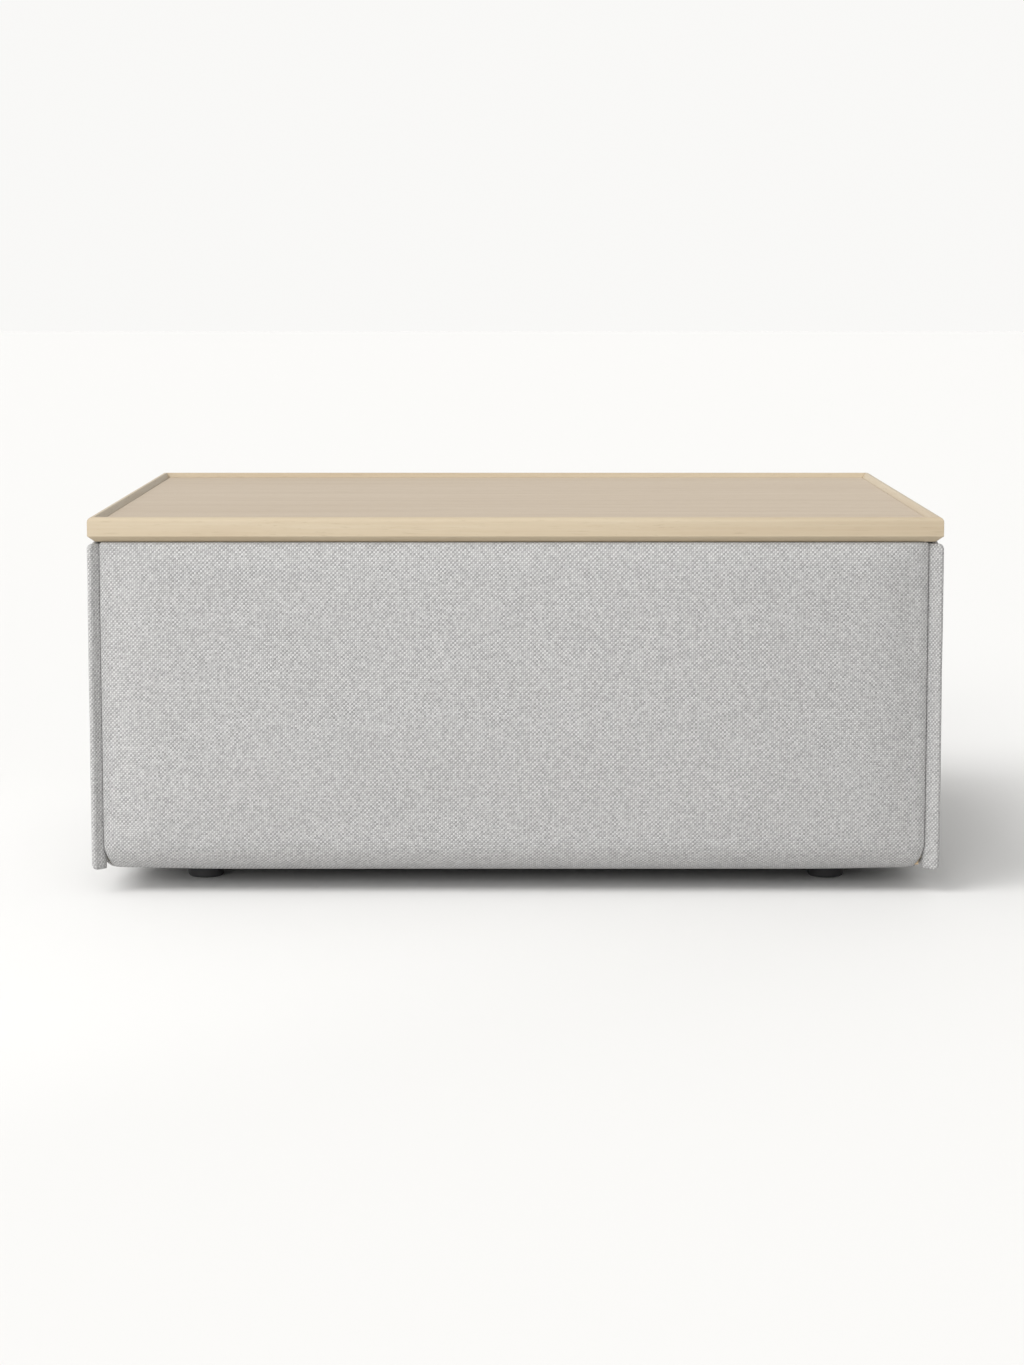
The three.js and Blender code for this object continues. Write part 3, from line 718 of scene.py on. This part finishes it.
def turned(name, profile, finish, axis="Z", steps=TURN_STEPS):
    """A turned piece from (radius, height) points. A profile that starts and ends off the axis
    closes on itself."""
    rings, faces = [], []
    open_ends = profile[0][0] > 0
    for radius, height in profile:
        if radius == 0:
            rings.append([(0.0, 0.0, height)])
        else:
            turns = [math.tau * i / steps for i in range(steps)]
            rings.append([(radius * math.cos(turn), radius * math.sin(turn), height) for turn in turns])
    starts = [0]
    for ring in rings:
        starts.append(starts[-1] + len(ring))
    pairs = list(zip(range(len(rings)), range(1, len(rings))))
    if open_ends:
        pairs.append((len(rings) - 1, 0))
    for a, b in pairs:
        for i in range(steps):
            k = (i + 1) % steps
            corners = [starts[row] + (turn if len(rings[row]) > 1 else 0)
                       for row, turn in ((a, i), (a, k), (b, k), (b, i))]
            faces.append(tuple(dict.fromkeys(corners)))
    points = [point for ring in rings for point in ring]
    piece = new_piece(name, points, faces, finish)
    if axis == "X":
        piece.data.transform(Matrix.Rotation(math.pi / 2, 4, "Y"))
    return piece


def crisp(piece, angle=40):
    """Keeps sharp turned and milled edges sharp while the rest shades smoothly."""
    limit = math.radians(angle)
    body = bmesh.new()
    body.from_mesh(piece.data)
    bmesh.ops.recalc_face_normals(body, faces=body.faces)
    for edge in body.edges:
        edge.smooth = len(edge.link_faces) < 2 or edge.calc_face_angle(0) < limit
    body.to_mesh(piece.data)
    body.free()
    return piece


def stood_on(piece, node_name):
    """Moves a turned piece, in plan, to the middle of the CAD piece that it stands for."""
    low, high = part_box(node_name)
    piece.data.transform(Matrix.Translation(((low.x + high.x) / 2, (low.y + high.y) / 2, 0)))
    return piece


def moulded(name, colour, roughness, grain=0.00006):
    """Plain coloured plastic or rubber with a fine spark-eroded grain."""
    plastic = Finish(name, roughness)
    spot = plastic.join(*plastic.place())
    pimples = plastic.cloud(spot, 2200.0, 2.0, 0.6)
    wear = plastic.cloud(spot, 60.0, 3.0, 0.6)
    plastic.feed("Base Color", plastic.mix(wear, colour, tuple(c * 1.5 for c in colour)))
    plastic.feed("Roughness", wear * 0.16 + (roughness - 0.08))
    plastic.raise_by(pimples, grain)
    return plastic


black_plastic = moulded("black_moulded_plastic", (0.028, 0.028, 0.029), 0.5)
foot_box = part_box("foot_front_left")
foot_radius = (foot_box[1].x - foot_box[0].x) / 2
foot_top = foot_box[1].z
foot_profile = [
    (0.0047, 0.0123), (0.0085, 0.0123), (0.0086, 0.0006), (0.0092, 0.0), (foot_radius - 0.0040, 0.0),
    (foot_radius - 0.0024, 0.0004), (foot_radius - 0.0010, 0.0016), (foot_radius - 0.0004, 0.0034),
    (foot_radius - 0.0002, 0.0180), (foot_radius, foot_top - 0.0022),
    (foot_radius - 0.0004, foot_top - 0.0014), (foot_radius - 0.0014, foot_top - 0.0010),
    (0.0047, foot_top - 0.0010),
]
for corner in CORNERS:
    foot = crisp(turned(f"moulded_foot_{corner}", foot_profile, black_plastic), 30)
    stood_on(foot, f"foot_{corner}")
    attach(foot, "box")
    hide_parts(f"foot_{corner}")


def plated(name, colour, roughness, brushed=0.0):
    """Zinc or chrome plate over steel, faintly clouded."""
    steel = Finish(name, roughness, metallic=1.0)
    x, y, z = steel.place()
    cloud = steel.cloud(steel.join(x, y, z), 120.0, 3.0, 0.6)
    scratch = steel.cloud(steel.join(x * 0.1, y, z), 2400.0, 2.0, 0.6)
    dull = tuple(c * 0.82 for c in colour)
    steel.feed("Base Color", steel.mix(cloud, dull, colour))
    steel.feed("Roughness", cloud * 0.18 + scratch * 0.10 + (roughness - 0.12))
    if brushed:
        steel.raise_by(scratch, brushed)
    return steel


zinc = plated("bright_zinc", (0.62, 0.63, 0.65), 0.32, 0.00002)
BOLT_RADIUS = 0.004
HEAD_RADIUS = 0.0075
bolt_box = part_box("foot_bolt_front_left")
head_low = bolt_box[0].z
bolt_profile = [
    (0, head_low + 0.0030), (0.0022, head_low + 0.0030), (0.0026, head_low + 0.0002), (0.0034, head_low),
    (HEAD_RADIUS - 0.0012, head_low), (HEAD_RADIUS - 0.0003, head_low + 0.0006),
    (HEAD_RADIUS, head_low + 0.0018), (HEAD_RADIUS, head_low + 0.0060),
    (BOLT_RADIUS, head_low + 0.0060), (BOLT_RADIUS, bolt_box[1].z - 0.001),
    (BOLT_RADIUS - 0.001, bolt_box[1].z), (0, bolt_box[1].z),
]
for corner in CORNERS:
    bolt = crisp(turned(f"bolt_{corner}", bolt_profile, zinc), 30)
    stood_on(bolt, f"foot_bolt_{corner}")
    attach(bolt, "box")
    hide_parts(f"foot_bolt_{corner}")


# ---------------------------------------------------------------------------------------------
# Tray lid: an ash-veneered panel glued inside four mitred strips of solid ash. The strips carry the
# lip, a rounded top edge and a chamfer below, and the whole is matt lacquered.

LIP_TOP_WIDTH = 0.0070
LIP_FOOT_WIDTH = 0.0115
EDGE_ROUND = 0.0055
CHAMFER_IN = 0.0080
CHAMFER_UP = 0.0065
strip_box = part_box("lid_edge_front")
lid_low = strip_box[0].z
lid_high = strip_box[1].z
lid_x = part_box("lid_edge_right")[1].x
lid_y = -strip_box[0].y
tray_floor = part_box("lid_panel")[1].z


def ash(name, along, seed, pale=(0.475, 0.40, 0.286), dark=(0.405, 0.315, 0.21)):
    """Pale ash under matt lacquer: broad soft bands, fine streaks and short dark pores, all along
    the grain."""
    wood = Finish(name, 0.5)
    axes = dict(zip("XYZ", wood.place()))
    run = axes.pop(along)
    across, depth = axes.values()
    bend = (wood.cloud(wood.join(run * 1.2, across * 2.0, seed), 1.6, 2.0, 0.5) - 0.5) * 0.05
    lane = across + bend
    bands = wood.cloud(wood.join(run * 0.5, lane * 13.0, depth * 13.0 + seed), 2.2, 3.0, 0.5)
    grain = wood.cloud(wood.join(run * 1.6, lane * 150.0, depth * 150.0 + seed), 1.5, 3.0, 0.55)
    pores = wood.cloud(wood.join(run * 30.0, lane * 900.0, depth * 900.0 + seed), 1.3, 1.0, 0.5)
    pore = wood.add("ShaderNodeMapRange", sockets={0: pores, 1: 0.64, 2: 0.74})
    tone = bands * 0.55 + grain * 0.45
    share = wood.add("ShaderNodeMapRange", sockets={0: tone, 1: 0.30, 2: 0.70})
    colour = wood.mix(share, pale, dark)
    wood.feed("Base Color", wood.mix(pore * 0.35, colour, tuple(c * 0.72 for c in dark)))
    wood.feed("Roughness", grain * 0.16 + pore * 0.15 + 0.40)
    wood.raise_by(grain * 0.4 - pore * 0.6, 0.00012)
    return wood


ash_x = ash("ash_along_x", "X", 0.0)
ash_y = ash("ash_along_y", "Y", 3.7)
ash_panel = ash("ash_veneer", "X", 8.2, pale=(0.455, 0.37, 0.27), dark=(0.39, 0.30, 0.205))


def strip_profile():
    """The strip's section as (inset, height) points, going round from the chamfer's foot."""
    section = [(CHAMFER_IN, lid_low), (LIP_FOOT_WIDTH, lid_low), (LIP_FOOT_WIDTH, tray_floor)]
    section += [(LIP_TOP_WIDTH + 0.001, lid_high - 0.001), (LIP_TOP_WIDTH, lid_high)]
    section += arc((EDGE_ROUND, lid_high - EDGE_ROUND), EDGE_ROUND, 90, 180, 8)
    section += [(0, lid_low + CHAMFER_UP)]
    return section


def mitred_strip(name, half, off, quarters, finish):
    """One edge strip. Each end is cut at 45 degrees by its points' own distance in."""
    section = strip_profile()
    joint = 0.00012
    points = []
    for end in (-1, 1):
        for inset, height in section:
            points.append(quarter_turned((end * (half - inset - joint), inset - off, height), quarters))
    count = len(section)
    faces = strips(2, count, closed=True)
    faces.append(tuple(reversed(range(count))))
    faces.append(tuple(range(count, 2 * count)))
    strip = crisp(new_piece(name, points, faces, finish), 30)
    return eased(strip, 0.0004)


def eased(piece, width):
    """Takes the sharpness off a piece's edges, as fine sandpaper does."""
    bevel = piece.modifiers.new("eased_edges", "BEVEL")
    bevel.width = width
    bevel.segments = 2
    bevel.limit_method = "ANGLE"
    bevel.angle_limit = math.radians(35)
    bevel.harden_normals = True
    return piece


LID_SIDES = {
    "front": (0, lid_x, lid_y, ash_x),
    "right": (1, lid_y, lid_x, ash_y),
    "back": (2, lid_x, lid_y, ash_x),
    "left": (3, lid_y, lid_x, ash_y),
}
HINGE_X = 0.300
NOTCH_HALF = 0.033
NOTCH_FRONT = 0.3875
NOTCH_TOP = 0.4053
NOTCH_PAST = 0.01
NOTCH_DEPTH = 0.02
BLOCK_FACES = ((3, 2, 1, 0), (4, 5, 6, 7), (0, 1, 5, 4), (1, 2, 6, 5), (2, 3, 7, 6), (3, 0, 4, 7))


def notched(strip):
    """Cuts the two openings for the hinge knuckles out of the back strip."""
    points, faces = [], []
    for middle in (-HINGE_X, HINGE_X):
        base = len(points)
        points += [(middle + dx, y, z) for z in (NOTCH_TOP - NOTCH_DEPTH, NOTCH_TOP) for dx, y in
                   ((-NOTCH_HALF, NOTCH_FRONT), (NOTCH_HALF, NOTCH_FRONT),
                    (NOTCH_HALF, lid_y + NOTCH_PAST), (-NOTCH_HALF, lid_y + NOTCH_PAST))]
        faces += [tuple(base + k for k in face) for face in BLOCK_FACES]
    cutter = new_piece("notch_cutter", points, faces, ash_x)
    cut = strip.modifiers.new("notches", "BOOLEAN")
    cut.operation = "DIFFERENCE"
    cut.solver = "EXACT"
    cut.object = cutter
    strip.modifiers.move(len(strip.modifiers) - 1, 0)
    eased_modifier = strip.modifiers["eased_edges"]
    eased_modifier.show_viewport = False
    shape = strip.evaluated_get(bpy.context.evaluated_depsgraph_get())
    strip.data = bpy.data.meshes.new_from_object(shape)
    eased_modifier.show_viewport = True
    strip.modifiers.remove(cut)
    bpy.data.objects.remove(cutter)


for side, (quarters, half, off, finish) in LID_SIDES.items():
    strip = mitred_strip(f"tray_edge_{side}", half, off, quarters, finish)
    if side == "back":
        notched(strip)
    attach(strip, "lid")
    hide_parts(f"lid_edge_{side}")

low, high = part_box("lid_panel")
points = [(x, y, z) for z in (low.z, high.z) for x, y in
          ((low.x, low.y), (high.x, low.y), (high.x, high.y), (low.x, high.y))]
tray_panel = new_piece("tray_panel", points, BLOCK_FACES, ash_panel)
eased(crisp(tray_panel), 0.0004)
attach(tray_panel, "lid")
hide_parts("lid_panel")


# ---------------------------------------------------------------------------------------------
# Bumpers: four soft rubber buttons, one near each corner, stuck to the underside of the tray. They
# land on the covers over the boards and keep the lid a little way off them.

bumper_rubber = moulded("bumper_rubber", (0.018, 0.018, 0.018), 0.75, 0.00004)


def eased_copy(node_name, body, finish, width=0.0003):
    """Remakes a small hard CAD piece with its edges taken off."""
    body_mesh = bmesh.new()
    body_mesh.from_mesh(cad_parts[node_name].data)
    bmesh.ops.remove_doubles(body_mesh, verts=body_mesh.verts, dist=1e-6)
    bmesh.ops.dissolve_limit(body_mesh, angle_limit=math.radians(1), verts=body_mesh.verts,
                             edges=body_mesh.edges)
    mesh = bpy.data.meshes.new(f"{node_name}_eased")
    body_mesh.to_mesh(mesh)
    body_mesh.free()
    mesh.materials.append(finish.material)
    mesh.shade_smooth()
    piece = bpy.data.objects.new(f"{node_name}_eased", mesh)
    bpy.context.scene.collection.objects.link(piece)
    eased(crisp(piece), width)
    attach(piece, body)
    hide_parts(node_name)
    return piece


for corner in CORNERS:
    eased_copy(f"lid_bumper_{corner}", "lid", bumper_rubber, 0.0005)


# ---------------------------------------------------------------------------------------------
# Hinges: two zinc-plated butt hinges on the back edge. Each leaf is held by three countersunk
# screws, and the knuckles stand in notches of the tray's back strip.

SCREW_RADIUS = 0.0034
SCREW_DEPTH = 0.0008
HANDS = (("left", -1), ("right", 1))
CROSS_WIDE = 0.0007
CROSS_LONG = 0.0019
CROSS_DEEP = 0.0006
SCREW_STAND = 0.00002
LEAF_GAP = 0.0003
SCREW_OFFSETS = ((-0.021, 0.0), (0.0, 0.008), (0.021, 0.0))


def screw_heads(name, spots, facing, body, proud=0.00012):
    """Countersunk screw heads with a cross recess, in a row. `facing` is the way they look."""
    ring_steps = 24
    turn = Vector((0, 0, 1)).rotation_difference(Vector(facing)).to_matrix()
    points, faces = [], []
    for spot in spots:
        base = len(points)
        for radius, height in ((SCREW_RADIUS * 0.55, -SCREW_DEPTH), (SCREW_RADIUS, -0.0001),
                               (SCREW_RADIUS, proud * 0.4), (SCREW_RADIUS * 0.86, proud)):
            for i in range(ring_steps):
                angle = math.tau * i / ring_steps
                points.append(Vector(spot) + turn @ Vector((radius * math.cos(angle),
                                                            radius * math.sin(angle), height)))
        for row in range(3):
            for i in range(ring_steps):
                k = (i + 1) % ring_steps
                faces.append((base + row * ring_steps + i, base + row * ring_steps + k,
                              base + (row + 1) * ring_steps + k, base + (row + 1) * ring_steps + i))
        faces.append(tuple(base + i for i in reversed(range(ring_steps))))
        arm = ((CROSS_WIDE, -CROSS_WIDE), (CROSS_LONG, -CROSS_WIDE), (CROSS_LONG, CROSS_WIDE))
        outline = []
        for quarter in range(4):
            for x, y in arm:
                angle = math.pi / 2 * quarter
                outline.append((x * math.cos(angle) - y * math.sin(angle),
                                x * math.sin(angle) + y * math.cos(angle)))
        rim = len(points)
        for depth in (proud, -CROSS_DEEP):
            points.extend(Vector(spot) + turn @ Vector((x, y, depth)) for x, y in outline)
        count = len(outline)
        top = [base + 3 * ring_steps + i for i in range(ring_steps)]
        for i in range(ring_steps):
            k = (i + 1) % ring_steps
            a, b = i * count // ring_steps, k * count // ring_steps
            faces.append(tuple(dict.fromkeys((top[i], top[k], rim + b % count, rim + a % count))))
        for i in range(count):
            k = (i + 1) % count
            faces.append((rim + i, rim + k, rim + count + k, rim + count + i))
        faces.append(tuple(rim + count + i for i in range(count)))
    screws = crisp(new_piece(name, points, faces, zinc), 30)
    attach(screws, body)
    return screws


for hand, _ in HANDS:
    eased_copy(f"hinge_lid_leaf_{hand}", "lid", zinc, 0.0002)
    eased_copy(f"hinge_box_leaf_{hand}", "box", zinc, 0.0002)
    eased_copy(f"hinge_pin_{hand}", "box", zinc, 0.0003)
    low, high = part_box(f"hinge_lid_leaf_{hand}")
    middle = (low.x + high.x) / 2
    screw_row = low.y + 0.010
    for leaf, height, facing in (("lid", low.z + SCREW_STAND, (0, 0, -1)),
                                 ("box", low.z - LEAF_GAP - SCREW_STAND, (0, 0, 1))):
        spots = [(middle + dx, screw_row + dy, height) for dx, dy in SCREW_OFFSETS]
        screw_heads(f"{leaf}_leaf_screws_{hand}", spots, facing, leaf)


# ---------------------------------------------------------------------------------------------
# Gas struts: a black painted tube with an eye at its foot, and a chromed rod that slides in it.
# Each end turns on a stud of a pressed zinc bracket, screwed to the box or the tray.

black_paint = moulded("black_strut_paint", (0.012, 0.012, 0.013), 0.34, 0.00003)
chrome = plated("bright_chrome", (0.78, 0.79, 0.81), 0.16)
BRACKET_PLATE = 0.0025
BOX_SCREWS_APART = 0.042
LID_SCREWS_APART = 0.028
LID_SCREWS_IN = 0.010

for hand, sx in HANDS:
    eased_copy(f"strut_tube_{hand}", f"strut_tube_{hand}", black_paint, 0.0003)
    eased_copy(f"strut_rod_{hand}", f"strut_rod_{hand}", chrome, 0.0002)
    eased_copy(f"strut_box_bracket_{hand}", "box", zinc, 0.0004)
    eased_copy(f"strut_lid_bracket_{hand}", "lid", zinc, 0.0004)
    low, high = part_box(f"strut_box_bracket_{hand}")
    centre = (low + high) / 2
    wall_face = (high.x if sx > 0 else low.x) - sx * BRACKET_PLATE
    spots = [(wall_face, centre.y, centre.z + half * BOX_SCREWS_APART) for half in (-0.5, 0.5)]
    screw_heads(f"box_bracket_screws_{hand}", spots, (-sx, 0, 0), "box")
    low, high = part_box(f"strut_lid_bracket_{hand}")
    centre = (low + high) / 2
    screw_x = (low.x if sx > 0 else high.x) + sx * LID_SCREWS_IN
    plate_face = high.z - BRACKET_PLATE
    spots = [(screw_x, centre.y + half * LID_SCREWS_APART, plate_face) for half in (-0.5, 0.5)]
    screw_heads(f"lid_bracket_screws_{hand}", spots, (0, 0, -1), "lid")


# ---------------------------------------------------------------------------------------------
# Staples: bright steel wire, in rows that hold the lining's top edge inside the boards and the
# dust cover under them.

STAPLE_LONG = 0.0100
STAPLE_WIDE = 0.0012
STAPLE_HIGH = 0.0006
STAPLE_PITCH = 0.045


def staple_rows(name, rows, pitch=STAPLE_PITCH):
    """Staples along straight rows. Each row is (start, end, the way that the crowns face)."""
    points, faces = [], []
    for start, end, facing in rows:
        start, end, up = Vector(start), Vector(end), Vector(facing)
        along = (end - start).normalized()
        side = up.cross(along)
        count = round((end - start).length / pitch)
        for i in range(count):
            middle = start.lerp(end, (i + 0.5) / count)
            tilt = 0.10 * math.sin(12.9898 * i + 4.1414 * count)
            run = along * math.cos(tilt) + side * math.sin(tilt)
            cross = up.cross(run)
            base = len(points)
            ends = ((-0.5, -STAPLE_HIGH), (-0.5, STAPLE_HIGH * 0.4), (-0.44, STAPLE_HIGH),
                    (0.44, STAPLE_HIGH), (0.5, STAPLE_HIGH * 0.4), (0.5, -STAPLE_HIGH))
            for half in (-0.5, 0.5):
                points += [middle + run * (STAPLE_LONG * share) + up * rise + cross * (half * STAPLE_WIDE)
                           for share, rise in ends]
            size = len(ends)
            faces.append(tuple(base + k for k in range(size)))
            faces.append(tuple(base + size + k for k in reversed(range(size))))
            for k in range(size):
                n = (k + 1) % size
                faces.append((base + n, base + k, base + size + k, base + size + n))
    staples = crisp(new_piece(name, points, faces, zinc), 50)
    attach(staples, "box")
    return staples


def rows_round(half_x, half_y, height, short, facings):
    """Four rows round a rectangle, from the front. Each stops short of its corners."""
    corners = [Vector((x * half_x, y * half_y, height)) for x, y in ((-1, -1), (1, -1), (1, 1), (-1, 1))]
    rows = []
    for i, facing in enumerate(facings):
        start, end = corners[i], corners[(i + 1) % 4]
        step = (end - start).normalized() * short
        rows.append((start + step, end - step, facing))
    return rows


STAPLE_INSET = 0.007
LINING_PROUD = 0.0014
INWARDS = ((0, 1, 0), (-1, 0, 0), (0, -1, 0), (1, 0, 0))
staple_rows("lining_staples", rows_round(
    lining_x - LINING_PROUD, lining_y - LINING_PROUD, LINING_TOP - STAPLE_INSET, 0.02, INWARDS))
staple_rows("dust_cover_staples", rows_round(
    dust_x - STAPLE_INSET, dust_y - STAPLE_INSET, frame_bottom - 0.0016, 0.0, [(0, 0, -1)] * 4))


# ---------------------------------------------------------------------------------------------
# The studio: a wide matt floor, and a pale surround that is dimmer to the right. Two soft suns stand
# for windows, upper left and low in front, and a soft-edged lamp lights the front's left half.

FLOOR_HALF = 30.0
floor_finish = Finish("pale_floor", 0.8)
floor_finish.surface.inputs["Base Color"].default_value = (0.765, 0.761, 0.753, 1)
floor = new_piece("floor", [(-FLOOR_HALF, -FLOOR_HALF, 0), (FLOOR_HALF, -FLOOR_HALF, 0),
                            (FLOOR_HALF, FLOOR_HALF, 0), (-FLOOR_HALF, FLOOR_HALF, 0)],
                  [(0, 1, 2, 3)], floor_finish)

SURROUND_LEFT = 0.947
SURROUND_RIGHT = 0.36


class Surround(Finish):
    """The light from all round, put together from nodes as a finish is."""

    def __init__(self, name):
        self.world = bpy.data.worlds.new(name)
        self.world.use_nodes = True
        self.tree = self.world.node_tree
        self.surface = self.tree.nodes["Background"]


surround = Surround("studio")
surround.surface.inputs["Color"].default_value = (1.0, 0.995, 0.98, 1)
heading = surround.add("ShaderNodeTexCoord", out="Generated")
to_right = surround.add("ShaderNodeSeparateXYZ", sockets={0: heading})
strength = surround.add("ShaderNodeMapRange", {"interpolation_type": "SMOOTHSTEP"},
                        {"Value": to_right, "From Min": 0.25, "From Max": 0.65,
                         "To Min": SURROUND_LEFT, "To Max": SURROUND_RIGHT})
surround.feed("Strength", strength)
bpy.context.scene.world = surround.world


def aimed_light(name, kind, energy, towards):
    """A light that shines along a direction."""
    light = bpy.data.lights.new(name, kind)
    light.energy = energy
    holder = bpy.data.objects.new(name, light)
    holder.rotation_euler = Vector(towards).to_track_quat("-Z", "Y").to_euler()
    bpy.context.scene.collection.objects.link(holder)
    return holder


window = aimed_light("window", "SUN", 1.48, (0.28, 0.19, -0.42))
window.data.angle = math.radians(40)
front_window = aimed_light("front_window", "SUN", 0.85, (0.10, 0.40, -0.15))
front_window.data.angle = math.radians(16)
lamp = aimed_light("lamp", "SPOT", 60.0, (1.15, 2.6, -0.36))
lamp.location = (-1.5, -3.0, 0.60)
lamp.data.shadow_soft_size = 0.15
lamp.data.spot_size = math.radians(29)
lamp.data.spot_blend = 0.7

CAMERA_BACK = 3.745
CAMERA_OVER_LID = 0.2855
CAMERA_PITCH = 7.18
camera_data = bpy.data.cameras.new("camera")
camera_data.lens = 88.4
camera_data.sensor_width = 36.0
camera_data.shift_x = -0.0048
camera = bpy.data.objects.new("camera", camera_data)
camera.location = (0.0034, -lid_y - CAMERA_BACK, lid_high + CAMERA_OVER_LID)
camera.rotation_euler = (math.radians(90 - CAMERA_PITCH), 0, 0)
bpy.context.scene.collection.objects.link(camera)
bpy.context.scene.camera = camera
bpy.context.scene.view_settings.view_transform = "Standard"
